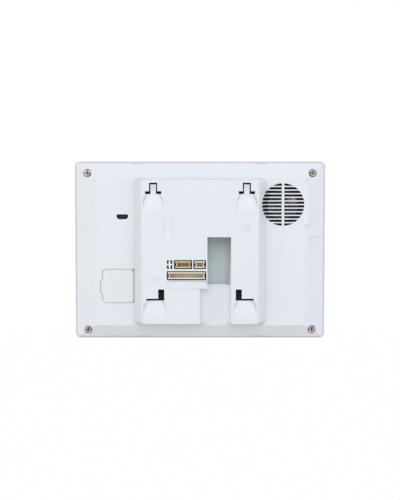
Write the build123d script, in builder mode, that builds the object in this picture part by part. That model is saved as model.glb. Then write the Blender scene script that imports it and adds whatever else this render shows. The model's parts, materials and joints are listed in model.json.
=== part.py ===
"""A wall-mounted video intercom monitor, 189 mm wide, made as the separate pieces it comes apart into.

The frame: +Z is up, +X runs to the right for someone reading the screen, and +Y points at the wall.
The origin is the middle of the flat rear face that rests against the wall bracket, so a "depth" here is
a distance from that face towards the screen, along -Y. Everything is in millimetres.
"""

import math
import os

from build123d import *

os.makedirs("parts", exist_ok=True)

# ------------------------------------------------------------------ driving dimensions
WIDTH = 189.0
HEIGHT = 134.0
FRONT_DEPTH = 27.0
CORNER_RADIUS = 4.0
WALL = 1.8
CLEARANCE = 0.15

# Rear cover: a low rim, four bevels of different widths, a flat plateau and a raised block.
PARTING_DEPTH = 18.0
BEVEL_FOOT_DEPTH = 17.0
REVEAL = 1.2
PLATEAU_DEPTH = 10.5
PLATEAU = (-79.3, 78.8, -56.4, 53.9)
BLOCK = (-44.0, 44.0, -54.3, 53.4)
BLOCK_SIDE_FLARE = 5.5
BLOCK_END_FLARE = 0.4
BLOCK_CORNER_RADIUS = 2.0
BLOCK_FOOT_RADIUS = 3.0
BLOCK_EDGE_FILLET = 0.5
INNER_PLATEAU_DEPTH = PLATEAU_DEPTH + WALL
LIP_THICKNESS = 0.9
LIP_DEPTH = 1.5

# Cable tray moulded into the block: a deep well, a side pocket and an exit channel.
WELL = (-23.1, -5.4, -25.4, 10.8)
WELL_FLOOR_DEPTH = 19.0
WELL_SLANT = 1.4
WELL_LEFT_DRAFT = 1.4
SCOOP = (-5.4, 25.2, -27.9, -21.5)
SCOOP_RUN = 4.0
SCOOP_DEPTH = 1.6
CHANNEL = (-23.1, 0.2, -58.0, -25.4)
CHANNEL_RADII = (6.4, 9.0)
CHANNEL_SHOULDER_Z = -27.9
TRAY_WALL = 1.2
TRAY_THIN_WALL = 0.8
TRAY_FLOOR = 1.4

# Hook slots that hang the monitor on its wall bracket.
UPPER_HOOK_X = 34.7
UPPER_SLOT_FOOT_Z = 42.8
UPPER_SLOT_SHOULDER_Z = 44.9
UPPER_SLOT_TOP_Z = 51.2
UPPER_STEM_HALF = 3.0
UPPER_FOOT_HALF = 6.0
UPPER_RAMP_HALF = 7.5
UPPER_RAMP_BOTTOM_Z = 30.3
TONGUE_HALF = 2.1
TONGUE_TOP_Z = 50.0
TONGUE_THICKNESS = 1.2
LOWER_HOOK_X = 33.4
LOWER_SLOT_FOOT_Z = -36.7
LOWER_SLOT_SHOULDER_Z = -35.1
LOWER_WINDOW_TOP_Z = -28.2
LOWER_WINDOW = (26.65, 31.15)
LOWER_SLOT_OUTER_X = 39.95
LOWER_RAMP_HALF = 8.6
LOWER_RAMP_BOTTOM_Z = -49.2
RAMP_DEPTH = 2.2
RAMP_SHOULDER = 4.8
RAMP_TOP_NARROWING = 2.6
RAMP_BACKING = 1.3
FILM_THICKNESS = 0.3

# Loudspeaker and its grille.
SPEAKER = (-62.2, 34.7)
GRILLE_RADIUS = 15.95
GRILLE_ROWS = 12
GRILLE_PITCH = 2.71
GRILLE_SLOT = 1.8
GRILLE_BAR = 1.9
GRILLE_CUT_DEPTH = 3.5
GRILLE_THICKNESS = 0.9
SPEAKER_PAD = (-82.0, -52.0, 19.5, 49.0)
SPEAKER_PAD_RISE = 0.12
SPEAKER_SEAT_RADIUS = 17.2
SPEAKER_RADIUS = 16.9
GASKET_INNER_RADIUS = 14.4
SPEAKER_FLANGE_BACK = 14.3
SPEAKER_BACK = 15.6
MAGNET_BACK = 19.2
CONE_RADIUS = 11.2
SPEAKER_SCREWS = [(-79.0, 44.4), (-79.0, 25.0), (-52.5, 51.5), (-52.5, 17.9)]

# Wiring headers on the small connector board.
PIN_PITCH = 2.0
HEADER_END = 3.7
HEADER_HEIGHT = 5.0
HEADER_RIM_DEPTH = 0.6
HEADER_WALL = 0.8
HEADER_END_WALL = 0.5
HEADER_PINCH = 1.05
HEADER_PINCH_HALF = 1.8
HEADER_PINCH_FLAT = 0.8
HEADER_FLOOR_DEPTH = 5.4
HEADER_ENTRY_GAP = 0.85
PIN_ROW_RISE = 0.75
HEADER_RIB = (0.8, 0.75)
HEADERS = {"thirteen_way": (13, 10.05, -17.85), "five_way": (5, 12.6, -9.6), "three_way": (3, 0.25, -9.6)}
BLANK_WINDOW = (20.6, 24.6, -12.8, -6.4)

# Boards.
IO_BOARD = (-4.0, 29.9, -21.0, -2.6)
IO_BOARD_DEPTH = 8.0
MAIN_BOARD = (-42.0, 76.0, -50.0, 50.0)
MAIN_BOARD_DEPTH = 16.4
BOARD_THICKNESS = 1.6
BOARD_SCREW_RADIUS = 1.0
SMALL_SCREW_RADIUS = 0.8
BOARD_SCREWS = [(-33.9, 18.0), (32.9, -21.4), (24.5, 46.0), (-24.5, 46.0), (12.0, -46.0), (70.0, 44.0)]
IO_BOARD_SCREWS = [(27.8, -5.4), (27.8, -18.4)]

# Network jack, USB port and memory card bay.
JACK = (-22.25, -6.25, 12.4, 33.9)
JACK_DEPTHS = (3.0, 16.4)
USB_CENTRE = (58.25, 25.5)
USB_PORT = (8.7, 3.7)
USB_RIM_DEPTH = 11.7
CARD_SOCKET = (52.6, 66.6, -34.4, -19.4)
CARD_SOCKET_DEPTH = 14.9
DOOR = (49.9, 73.2, -39.2, -14.1)
DOOR_TAB = (72.8, 74.6, -32.6, -21.6)
DOOR_RADIUS = 3.0
DOOR_THICKNESS = 1.2
DOOR_GAP = 0.3
DOOR_HINGE_RADIUS = 0.7
DOOR_HINGE_RELIEF = 0.35
DOOR_PIN_RADIUS = 0.4
DOOR_PIN_LENGTH = 2.0
DOOR_LEDGE = 1.5

# Case screws, one in each corner.
CASE_SCREWS = [(84.6, 58.25), (-84.6, 58.25), (84.6, -60.1), (-84.6, -59.9)]
SCREW_HEAD_RADIUS = 2.85
SCREW_HEAD_HEIGHT = 1.7
SCREW_SEAT_DEPTH = 15.3
SCREW_SHANK_RADIUS = 1.45

DIMPLE = (-87.2, 7.9)
DIMPLE_RADIUS = 3.0
DIMPLE_TIP = 5.2

# Front: display stack and key column.
SCREEN_X = -7.5
GLASS = (165.0, 108.0)
GLASS_DEPTHS = (25.9, 26.9)
GLASS_SEAT_DEPTH = 25.7
BEZEL_FLOOR_DEPTH = 24.4
VIEW = (157.0, 89.0)
ACTIVE = (154.1, 85.9)
LCD = (164.6, 99.6)
LCD_BACK_DEPTH = 19.6
KEY_X = 84.3
KEY_PITCH = 17.0
KEY_SIZE = (10.4, 8.4)
KEY_NAMES = ["key_unlock", "key_monitor", "key_talk", "key_menu", "key_alarm"]
KEY_TRAVEL = 0.5
KEY_FRONT_DEPTH = 27.3
KEY_FLANGE_DEPTHS = (23.55, 24.35)
KEY_BOARD = (76.6, 90.8, -42.0, 54.0)
KEY_BOARD_DEPTHS = (19.8, 21.0)
SWITCH_HEIGHT = 1.8
KEY_BOARD_SCREWS = [(KEY_X, 25.5), (KEY_X, -25.5)]
LIGHTS = [(80.3, 48.0), (84.3, 48.0), (88.3, 48.0)]
LIGHT_RADIUS = 0.9
CLIP_SCREWS = [(-62.0, 53.8), (44.0, 53.8), (-62.0, -53.8), (44.0, -53.8)]
CLIP_DEPTHS = (18.95, 19.55)
MICROPHONE = (-7.5, -60.5)
BEZEL_WALL = 2.0
RIBBON_DEPTHS = (18.5, 18.65)


# ------------------------------------------------------------------ helpers
def at_depth(depth):
    """A sketch plane parallel to the rear face: sketch x is X, sketch y is Z, and extrusions run to the screen."""
    return Plane.XZ.offset(depth)


def span(x_low, x_high, z_low, z_high, radius=0):
    """A rectangle between two corners, in the current sketch."""
    with Locations(((x_low + x_high) / 2, (z_low + z_high) / 2)):
        if radius:
            RectangleRounded(x_high - x_low, z_high - z_low, radius)
        else:
            Rectangle(x_high - x_low, z_high - z_low)


def slab(box, depths, radius=0, mode=Mode.ADD):
    """A rectangular plate between two depths, in the current part."""
    with BuildSketch(at_depth(depths[0])) as outline:
        span(*box, radius)
    extrude(outline.sketch, amount=depths[1] - depths[0], mode=mode)


def peg(centre, radius, depths, mode=Mode.ADD):
    """A round post or hole along the depth, in the current part."""
    with BuildSketch(at_depth(depths[0])) as outline:
        with Locations(centre):
            Circle(radius)
    extrude(outline.sketch, amount=depths[1] - depths[0], mode=mode)


def tapered(box_a, depth_a, box_b, depth_b, mode=Mode.ADD, radius_a=0, radius_b=0):
    """A straight-sided loft from one rectangle to another, in the current part."""
    with BuildSketch(at_depth(depth_a)) as near:
        span(*box_a, radius_a)
    with BuildSketch(at_depth(depth_b)) as far:
        span(*box_b, radius_b)
    loft([near.sketch, far.sketch], ruled=True, mode=mode)


def grown(box, amount):
    """The same rectangle, larger by amount on every side."""
    return (box[0] - amount, box[1] + amount, box[2] - amount, box[3] + amount)


def centred(size, centre=(0, 0)):
    """A rectangle of that size about a centre."""
    return (
        centre[0] - size[0] / 2,
        centre[0] + size[0] / 2,
        centre[1] - size[1] / 2,
        centre[1] + size[1] / 2,
    )


def save(name, part):
    """Labels one finished piece and writes it as its own node."""
    part.label = name
    export_step(part, f"parts/{name}.step")


CASE = centred((WIDTH, HEIGHT))
COVER_RIM = grown(CASE, -REVEAL)
MAIN_BOARD_BACK = MAIN_BOARD_DEPTH + BOARD_THICKNESS
IO_BOARD_BACK = IO_BOARD_DEPTH + BOARD_THICKNESS
DOOR_HINGE = (DOOR[0] + DOOR_HINGE_RADIUS, PLATEAU_DEPTH + DOOR_HINGE_RADIUS)


# ------------------------------------------------------------------ rear cover
def cover_form(inset):
    """The rear cover's outside, or its hollow when inset is the wall thickness."""
    foot_depth = BEVEL_FOOT_DEPTH if inset == 0 else PARTING_DEPTH + 0.15
    plateau_depth = PLATEAU_DEPTH + inset
    rim = grown(COVER_RIM, -inset)
    face = grown(BLOCK, -inset)
    slope = BLOCK_SIDE_FLARE / PLATEAU_DEPTH
    run = INNER_PLATEAU_DEPTH + 1
    base = (
        face[0] - slope * run,
        face[1] + slope * run,
        face[2] - BLOCK_END_FLARE,
        face[3] + BLOCK_END_FLARE,
    )
    with BuildPart() as form:
        tapered(rim, foot_depth, grown(PLATEAU, -inset / 3), plateau_depth)
        slab(rim, (foot_depth, PARTING_DEPTH + inset))
        slab(grown(rim, 0), (0, PARTING_DEPTH + inset), radius=CORNER_RADIUS - REVEAL, mode=Mode.INTERSECT)
        tapered(base, inset + run, face, inset, radius_a=BLOCK_FOOT_RADIUS, radius_b=BLOCK_CORNER_RADIUS)
    return form.part


def ramp(x_centre, half_width, z_bottom, z_top, grow=0.0):
    """One hook entry: a rounded recess whose floor sinks from the face towards the slot above it."""
    left = x_centre - half_width - grow
    right = x_centre + half_width + grow
    low = z_bottom - grow
    shoulder = z_top - RAMP_SHOULDER
    top_left = left + RAMP_TOP_NARROWING
    top_right = right - RAMP_TOP_NARROWING
    with BuildPart() as recess:
        with BuildSketch(at_depth(-1)) as outline:
            with BuildLine():
                Polyline(
                    (left, low),
                    (right, low),
                    (right, shoulder),
                    (top_right, z_top),
                    (top_left, z_top),
                    (left, shoulder),
                    close=True,
                )
            make_face()
            fillet(outline.vertices().group_by(Axis.Y)[0], 2.4)
            fillet(outline.vertices().sort_by(Axis.Y)[-4:-2], 6.0)
        extrude(amount=RAMP_DEPTH + RAMP_BACKING + 2)
        with BuildSketch(Plane.YZ):
            with BuildLine():
                Polyline(
                    (2, low),
                    (-grow, low),
                    (-RAMP_DEPTH - grow, z_top),
                    (2, z_top),
                    close=True,
                )
            make_face()
        extrude(amount=WIDTH, both=True, mode=Mode.INTERSECT)
    return recess.part


def tray_solid(grow, floor_grow):
    """The cable tray's free space, or its walls' outside when grow is a wall thickness."""
    floor_depth = PLATEAU_DEPTH + floor_grow
    well_face = (WELL[0] - grow, WELL[1] + min(grow, TRAY_THIN_WALL), WELL[2] - grow, WELL[3] + grow)
    with BuildPart() as tray:
        # Exit channel: a trough with one tight and one wide rounded side.
        with BuildSketch(Plane.XY.offset(CHANNEL[2])) as trough:
            with Locations(((CHANNEL[0] + CHANNEL[1]) / 2, -floor_depth / 2)):
                Rectangle(CHANNEL[1] - CHANNEL[0] + 2 * grow, floor_depth)
            floor_corners = trough.vertices().group_by(Axis.Y)[0].sort_by(Axis.X)
            fillet(floor_corners[0], CHANNEL_RADII[0] + grow)
            floor_corners = trough.vertices().group_by(Axis.Y)[0].sort_by(Axis.X)
            fillet(floor_corners[-1], CHANNEL_RADII[1] + grow)
        extrude(amount=CHANNEL_SHOULDER_Z - CHANNEL[2] + grow)
        # Between the wide side's upper end and the well, the channel is only as wide as the well.
        with BuildPart(mode=Mode.PRIVATE) as neck:
            extrude(trough.sketch, amount=CHANNEL[3] - CHANNEL[2] + grow)
            neck_box = (CHANNEL[0] - grow, well_face[1], CHANNEL[2], CHANNEL[3] + grow)
            slab(neck_box, (-1, floor_depth + 1), mode=Mode.INTERSECT)
        add(neck.part)
        # Flat scoop under the wiring headers, rising to the face at its far end.
        scoop = (SCOOP[0], SCOOP[1] + grow, SCOOP[2] - grow, SCOOP[3] + grow * 0.4)
        scoop_floor = (scoop[0], scoop[1] - SCOOP_RUN, scoop[2], scoop[3])
        slab(scoop, (-0.5, floor_grow))
        tapered(scoop, floor_grow, scoop_floor, SCOOP_DEPTH + floor_grow)
        with BuildSketch(at_depth(0)) as mouth:
            span(*well_face)
        with BuildSketch(at_depth(WELL_FLOOR_DEPTH)) as floor:
            with BuildLine():
                Polyline(
                    (well_face[0] + WELL_SLANT, well_face[2]),
                    (well_face[1] - WELL_LEFT_DRAFT, well_face[2]),
                    (well_face[1] - WELL_LEFT_DRAFT, well_face[3]),
                    (well_face[0], well_face[3]),
                    close=True,
                )
            make_face()
        loft([mouth.sketch, floor.sketch], ruled=True)
    return tray.part


def door_outline(grow=0.0):
    """The memory card door seen from behind, in the current sketch."""
    span(*grown(DOOR, grow), DOOR_RADIUS + grow)
    tab = grown(DOOR_TAB, grow)
    with BuildLine() as tab_edge:
        Polyline(
            (tab[0] - 1.5, tab[2]),
            (tab[0], tab[2] - 0.6),
            (tab[1], tab[2] + 0.9),
            (tab[1], tab[3] - 0.9),
            (tab[0], tab[3] + 0.6),
            (tab[0] - 1.5, tab[3]),
            close=True,
        )
    make_face(tab_edge.edges())


def header_length(ways):
    return PIN_PITCH * (ways - 1) + HEADER_END


def header_hollow(x_header, z_header, half_x, half_z):
    """Corner points of a header's inside, with both ends pinched in."""
    pinch = half_x - HEADER_PINCH
    right = [(half_x, half_z), (pinch, HEADER_PINCH_FLAT), (pinch, -HEADER_PINCH_FLAT), (half_x, -half_z)]
    left = [(-x, z) for x, z in reversed(right)]
    return [(x_header + x, z_header + z) for x, z in right + left]


def cut_hook_slots(side):
    """Opens the upper and lower slots on one side of the block, in the current part."""
    upper = side * UPPER_HOOK_X
    window = sorted(side * x for x in LOWER_WINDOW)
    thin = sorted((side * LOWER_WINDOW[0], side * LOWER_SLOT_OUTER_X))
    through = (-1, RAMP_DEPTH + RAMP_BACKING + 1)
    stem = (upper - UPPER_STEM_HALF, upper + UPPER_STEM_HALF, UPPER_SLOT_FOOT_Z, UPPER_SLOT_TOP_Z)
    foot = (upper - UPPER_FOOT_HALF, upper + UPPER_FOOT_HALF, UPPER_SLOT_FOOT_Z, UPPER_SLOT_SHOULDER_Z)
    slab(stem, through, mode=Mode.SUBTRACT)
    slab(foot, through, mode=Mode.SUBTRACT)
    slab((*window, LOWER_SLOT_FOOT_Z, LOWER_WINDOW_TOP_Z), through, mode=Mode.SUBTRACT)
    slab((*thin, LOWER_SLOT_FOOT_Z, LOWER_SLOT_SHOULDER_Z), through, mode=Mode.SUBTRACT)


with BuildPart() as rear_cover:
    add(cover_form(0))
    fillet(rear_cover.faces().sort_by(Axis.Y)[-1].edges(), BLOCK_EDGE_FILLET)
    # The speaker pad carries the plateau a little way out over the bevel.
    slab(SPEAKER_PAD, (PLATEAU_DEPTH - SPEAKER_PAD_RISE, PLATEAU_DEPTH + WALL + 1))
    add(cover_form(WALL), mode=Mode.SUBTRACT)
    peg(SPEAKER, SPEAKER_SEAT_RADIUS, (INNER_PLATEAU_DEPTH, PARTING_DEPTH), mode=Mode.SUBTRACT)

    # Locating lip that drops inside the front bezel.
    slab(grown(COVER_RIM, -1.0), (PARTING_DEPTH - 0.5, PARTING_DEPTH + LIP_DEPTH), radius=2.5)
    slab(
        grown(COVER_RIM, -1.0 - LIP_THICKNESS),
        (PARTING_DEPTH - 0.6, PARTING_DEPTH + LIP_DEPTH),
        radius=1.6,
        mode=Mode.SUBTRACT,
    )

    # Cable tray walls, kept inside the block, then the tray itself.
    with BuildPart(mode=Mode.PRIVATE) as tray_walls:
        add(tray_solid(TRAY_WALL, TRAY_FLOOR))
        slab((-60, 60, BLOCK[2] + 0.5, 60), (0.5, WELL_FLOOR_DEPTH), mode=Mode.INTERSECT)
    add(tray_walls.part)
    add(tray_solid(0, 0), mode=Mode.SUBTRACT)
    slab((JACK[0] - 0.2, JACK[1] + 0.2, WELL[3] - 1, JACK[2] + 0.1), (2.8, WELL_FLOOR_DEPTH), mode=Mode.SUBTRACT)

    # Hook entries: backing first, then the ramps, the slots and the upper spring tongues.
    for side in (-1, 1):
        upper = (side * UPPER_HOOK_X, UPPER_RAMP_HALF, UPPER_RAMP_BOTTOM_Z, UPPER_SLOT_FOOT_Z)
        lower = (side * LOWER_HOOK_X, LOWER_RAMP_HALF, LOWER_RAMP_BOTTOM_Z, LOWER_SLOT_FOOT_Z)
        for hook in (upper, lower):
            with BuildPart(mode=Mode.PRIVATE) as backing:
                add(ramp(*hook, grow=RAMP_BACKING))
                slab(BLOCK, (WALL / 2, 9), mode=Mode.INTERSECT)
            add(backing.part)
            add(ramp(*hook), mode=Mode.SUBTRACT)
        cut_hook_slots(side)
        tongue = (
            side * UPPER_HOOK_X - TONGUE_HALF,
            side * UPPER_HOOK_X + TONGUE_HALF,
            UPPER_SLOT_FOOT_Z - 1.0,
            TONGUE_TOP_Z,
        )
        slab(tongue, (RAMP_DEPTH - 0.2, RAMP_DEPTH - 0.2 + TONGUE_THICKNESS))

    # Speaker grille: horizontal slots inside a circle, split by one upright bar.
    with BuildSketch(at_depth(GRILLE_CUT_DEPTH)) as grille:
        with Locations(SPEAKER):
            Circle(GRILLE_RADIUS)
        with Locations(SPEAKER):
            Rectangle(GRILLE_BAR, 3 * GRILLE_RADIUS, mode=Mode.SUBTRACT)
        for gap in range(GRILLE_ROWS + 1):
            z_bar = SPEAKER[1] + (gap - GRILLE_ROWS / 2) * GRILLE_PITCH
            with Locations((SPEAKER[0], z_bar)):
                Rectangle(3 * GRILLE_RADIUS, GRILLE_PITCH - GRILLE_SLOT, mode=Mode.SUBTRACT)
    extrude(amount=INNER_PLATEAU_DEPTH + 1 - GRILLE_CUT_DEPTH, mode=Mode.SUBTRACT)
    # The wall is thinned behind the grille, inside the gasket.
    grille_inside = (PLATEAU_DEPTH + GRILLE_THICKNESS, INNER_PLATEAU_DEPTH + 0.1)
    peg(SPEAKER, GASKET_INNER_RADIUS - 0.1, grille_inside, mode=Mode.SUBTRACT)

    # Connector openings in the block face.
    for ways, x_header, z_header in HEADERS.values():
        size = (header_length(ways) + 2 * HEADER_ENTRY_GAP, HEADER_HEIGHT + 2 * HEADER_ENTRY_GAP)
        slab(centred(size, (x_header, z_header)), (-1, WALL + 0.5), radius=0.5, mode=Mode.SUBTRACT)
    with BuildSketch(at_depth(-1)) as blank:
        span(*BLANK_WINDOW)
        blank_x = (BLANK_WINDOW[0] + BLANK_WINDOW[1]) / 2
        blank_z = (BLANK_WINDOW[2] + BLANK_WINDOW[3]) / 2
        with Locations((blank_x, blank_z)):
            Ellipse(0.8, 3.6, mode=Mode.SUBTRACT)
            Rectangle(5, 1.1, mode=Mode.SUBTRACT)
    extrude(amount=WALL + 1.5, mode=Mode.SUBTRACT)

    # USB opening with its two lower corners cut off.
    with BuildSketch(at_depth(PLATEAU_DEPTH - 1)) as port:
        with Locations(USB_CENTRE):
            Rectangle(*USB_PORT)
        chamfer(port.vertices().group_by(Axis.Y)[0], 1.5)
        fillet(port.vertices().group_by(Axis.Y)[-1], 0.8)
    extrude(amount=WALL + 2, mode=Mode.SUBTRACT)

    # Memory card doorway: a ledge frame, the door's seat, the hinge groove and its two pin holes.
    slab(grown(DOOR, 1.2), (PLATEAU_DEPTH + WALL / 2, INNER_PLATEAU_DEPTH + 0.8))
    with BuildSketch(at_depth(PLATEAU_DEPTH - 1)):
        door_outline(DOOR_GAP)
    extrude(amount=1 + DOOR_THICKNESS + 0.05, mode=Mode.SUBTRACT)
    slab(grown(DOOR, -DOOR_LEDGE), (PLATEAU_DEPTH, PLATEAU_DEPTH + 4), radius=1.5, mode=Mode.SUBTRACT)
    with BuildSketch(Plane.XY.offset(DOOR[2] - 0.05)):
        with Locations((DOOR_HINGE[0], -DOOR_HINGE[1])):
            Circle(DOOR_HINGE_RADIUS + DOOR_HINGE_RELIEF)
    extrude(amount=DOOR[3] - DOOR[2] + 0.1, mode=Mode.SUBTRACT)
    with BuildSketch(Plane.XY.offset(DOOR[2] - 1.3)):
        with Locations((DOOR_HINGE[0], -DOOR_HINGE[1])):
            Circle(DOOR_PIN_RADIUS + 0.06)
    extrude(amount=DOOR[3] - DOOR[2] + 2.6, mode=Mode.SUBTRACT)
    # Fingernail scoop beside the door's tab.
    with BuildSketch(at_depth(PLATEAU_DEPTH - 0.05)):
        with Locations((DOOR_TAB[1] - 0.2, (DOOR_TAB[2] + DOOR_TAB[3]) / 2)):
            RectangleRounded(2.0, DOOR_TAB[3] - DOOR_TAB[2] - 2.2, 0.9)
    extrude(amount=0.35, mode=Mode.SUBTRACT)

    # Corner screw bosses with counterbored heads, and the backing of the dimple in one bevel.
    with BuildPart(mode=Mode.PRIVATE) as bosses:
        for centre in CASE_SCREWS:
            peg(centre, SCREW_HEAD_RADIUS + 1.3, (PLATEAU_DEPTH, PARTING_DEPTH - 0.3))
        peg(DIMPLE, 4.4, (PLATEAU_DEPTH, 16.4))
        add(cover_form(0), mode=Mode.INTERSECT)
    add(bosses.part)
    for centre in CASE_SCREWS:
        peg(centre, SCREW_HEAD_RADIUS + 0.2, (5, SCREW_SEAT_DEPTH), mode=Mode.SUBTRACT)
        peg(centre, SCREW_SHANK_RADIUS + 0.25, (5, PARTING_DEPTH), mode=Mode.SUBTRACT)

    # Bosses that carry the boards.
    for centre in BOARD_SCREWS:
        top = WALL / 2 if abs(centre[0]) < BLOCK[1] else PLATEAU_DEPTH + WALL / 2
        peg(centre, 2.6, (top, MAIN_BOARD_DEPTH))
        peg(centre, 1.05, (MAIN_BOARD_DEPTH - 6 if top < 5 else 12.6, MAIN_BOARD_DEPTH), mode=Mode.SUBTRACT)
    for centre in IO_BOARD_SCREWS:
        peg(centre, 2.0, (WALL / 2, IO_BOARD_DEPTH))
        peg(centre, 0.85, (3, IO_BOARD_DEPTH), mode=Mode.SUBTRACT)
    for centre in SPEAKER_SCREWS:
        peg(centre, 2.0, (PLATEAU_DEPTH + 1.1, SPEAKER_FLANGE_BACK))
        peg(centre, 0.85, (PLATEAU_DEPTH + 1.5, SPEAKER_FLANGE_BACK), mode=Mode.SUBTRACT)

    # Shallow marks in the face: label field, finger groove and two gate rounds.
    slab((-20.7, 19.0, 17.1, 42.5), (-1, 0.08), mode=Mode.SUBTRACT)
    with BuildSketch(Plane.YZ.offset(20.3)):
        with BuildLine():
            Polyline((1, 6.2), (0, 6.2), (-0.3, 10.0), (-0.3, 25.6), (1, 25.6), close=True)
        make_face()
    extrude(amount=6.9, mode=Mode.SUBTRACT)
    for centre in BOARD_SCREWS[:2]:
        peg(centre, 2.9, (-1, 0.3), mode=Mode.SUBTRACT)
        peg(centre, 1.2, (0.05, 1))

    # Teardrop dimple in one bevel, running out to nothing at its outer side, and the pry slot in the lower edge.
    with BuildPart(mode=Mode.PRIVATE) as dimple:
        with BuildSketch(at_depth(8)):
            with Locations(DIMPLE):
                Circle(DIMPLE_RADIUS)
            with BuildLine() as tip:
                Polyline(
                    (DIMPLE[0] + DIMPLE_TIP, DIMPLE[1]),
                    (DIMPLE[0] + 1.7, DIMPLE[1] + 2.45),
                    (DIMPLE[0] + 1.7, DIMPLE[1] - 2.45),
                    close=True,
                )
            make_face(tip.edges())
        extrude(amount=9)
        with BuildSketch(Plane.XY):
            with BuildLine() as floor_line:
                Polyline((-80, -7), (-80, -12.3), (-91.5, -16.2), (-91.5, -7), close=True)
            make_face(floor_line.edges())
        extrude(amount=30, both=True, mode=Mode.INTERSECT)
    add(dimple.part, mode=Mode.SUBTRACT)
    slab((58.5, 68.3, -66.5, -65.0), (15.4, PARTING_DEPTH - 0.4), mode=Mode.SUBTRACT)
save("rear_cover", rear_cover.part)
# Black films stuck behind the hook slots keep dust and fingers off the boards.
FILM_DEPTH = RAMP_DEPTH + RAMP_BACKING + 0.05
UPPER_FILM = (27.6, 41.9, 37.5, 51.3)
LOWER_FILM = (26.3, 41.8, -44.0, -26.5)
with BuildPart() as slot_films:
    for left, right, low, high in (UPPER_FILM, LOWER_FILM):
        slab((left, right, low, high), (FILM_DEPTH, FILM_DEPTH + FILM_THICKNESS), radius=1.0)
        slab((-right, -left, low, high), (FILM_DEPTH, FILM_DEPTH + FILM_THICKNESS), radius=1.0)
save("slot_films", slot_films.part)


# ------------------------------------------------------------------ front bezel and display
with BuildPart() as front_bezel:
    slab(CASE, (PARTING_DEPTH, FRONT_DEPTH), radius=CORNER_RADIUS)
    fillet(front_bezel.faces().sort_by(Axis.Y)[0].edges(), 1.4)
    inside = grown(CASE, -BEZEL_WALL)
    slab(inside, (PARTING_DEPTH, BEZEL_FLOOR_DEPTH), radius=CORNER_RADIUS - BEZEL_WALL, mode=Mode.SUBTRACT)
    seat = centred((GLASS[0] + 0.3, GLASS[1] + 0.3), (SCREEN_X, 0))
    slab(seat, (GLASS_SEAT_DEPTH, FRONT_DEPTH + 1), radius=2.2, mode=Mode.SUBTRACT)
    slab(centred(VIEW, (SCREEN_X, 0)), (BEZEL_FLOOR_DEPTH - 1, FRONT_DEPTH), radius=1.0, mode=Mode.SUBTRACT)
    for row in range(len(KEY_NAMES)):
        hole = (KEY_SIZE[0] + 2 * CLEARANCE, KEY_SIZE[1] + 2 * CLEARANCE)
        opening = centred(hole, (KEY_X, (2 - row) * KEY_PITCH))
        slab(opening, (BEZEL_FLOOR_DEPTH - 1, FRONT_DEPTH + 1), radius=1.6, mode=Mode.SUBTRACT)
    for centre in LIGHTS:
        peg(centre, LIGHT_RADIUS + 0.05, (BEZEL_FLOOR_DEPTH - 1, FRONT_DEPTH + 1), mode=Mode.SUBTRACT)
    peg(MICROPHONE, 0.7, (BEZEL_FLOOR_DEPTH - 1, FRONT_DEPTH + 1), mode=Mode.SUBTRACT)
    for centre in CASE_SCREWS:
        peg(centre, 3.2, (PARTING_DEPTH - 0.25, BEZEL_FLOOR_DEPTH))
        peg(centre, SCREW_SHANK_RADIUS + 0.02, (PARTING_DEPTH - 1, BEZEL_FLOOR_DEPTH - 0.2), mode=Mode.SUBTRACT)
    for centre in CLIP_SCREWS:
        peg(centre, 2.4, (CLIP_DEPTHS[1], BEZEL_FLOOR_DEPTH))
        peg(centre, SMALL_SCREW_RADIUS + 0.02, (CLIP_DEPTHS[1], BEZEL_FLOOR_DEPTH - 0.2), mode=Mode.SUBTRACT)
    for centre in KEY_BOARD_SCREWS:
        peg(centre, 2.2, (KEY_BOARD_DEPTHS[1], BEZEL_FLOOR_DEPTH))
        peg(centre, SMALL_SCREW_RADIUS + 0.02, (KEY_BOARD_DEPTHS[1], BEZEL_FLOOR_DEPTH - 0.2), mode=Mode.SUBTRACT)
save("front_bezel", front_bezel.part)

with BuildPart() as display_glass:
    slab(centred(GLASS, (SCREEN_X, 0)), GLASS_DEPTHS, radius=2.0)
    chamfer(display_glass.faces().sort_by(Axis.Y)[0].edges(), 0.25)
save("display_glass", display_glass.part)

with BuildPart() as glass_tape:
    tape_depths = (GLASS_SEAT_DEPTH, GLASS_DEPTHS[0])
    slab(centred((GLASS[0] - 1, GLASS[1] - 1), (SCREEN_X, 0)), tape_depths, radius=1.5)
    slab(centred((VIEW[0] + 1, VIEW[1] + 1), (SCREEN_X, 0)), tape_depths, radius=1.5, mode=Mode.SUBTRACT)
save("glass_tape", glass_tape.part)

LCD_BOX = centred(LCD, (SCREEN_X, 0))
LCD_FRONT_DEPTH = BEZEL_FLOOR_DEPTH - 0.2
with BuildPart() as lcd_back:
    slab(LCD_BOX, (LCD_BACK_DEPTH, LCD_FRONT_DEPTH), radius=0.8)
    slab(grown(LCD_BOX, -0.5), (LCD_BACK_DEPTH + 0.5, LCD_FRONT_DEPTH + 1), mode=Mode.SUBTRACT)
    # The tray's lower wall is notched where the ribbon comes out.
    notch = (-32.0, 2.0, LCD_BOX[2] - 1, LCD_BOX[2] + 1)
    slab(notch, (LCD_BACK_DEPTH + 1.4, LCD_FRONT_DEPTH + 1), mode=Mode.SUBTRACT)
    for x_rib in (-70, -40, 20, 50):
        slab((x_rib - 6, x_rib + 6, -38, -37), (LCD_BACK_DEPTH - 0.15, LCD_BACK_DEPTH + 0.1))
        slab((x_rib - 6, x_rib + 6, 37, 38), (LCD_BACK_DEPTH - 0.15, LCD_BACK_DEPTH + 0.1))
save("lcd_back", lcd_back.part)

with BuildPart() as lcd_backlight:
    slab(grown(LCD_BOX, -0.8), (LCD_BACK_DEPTH + 0.6, LCD_BACK_DEPTH + 2.4))
save("lcd_backlight", lcd_backlight.part)

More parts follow.
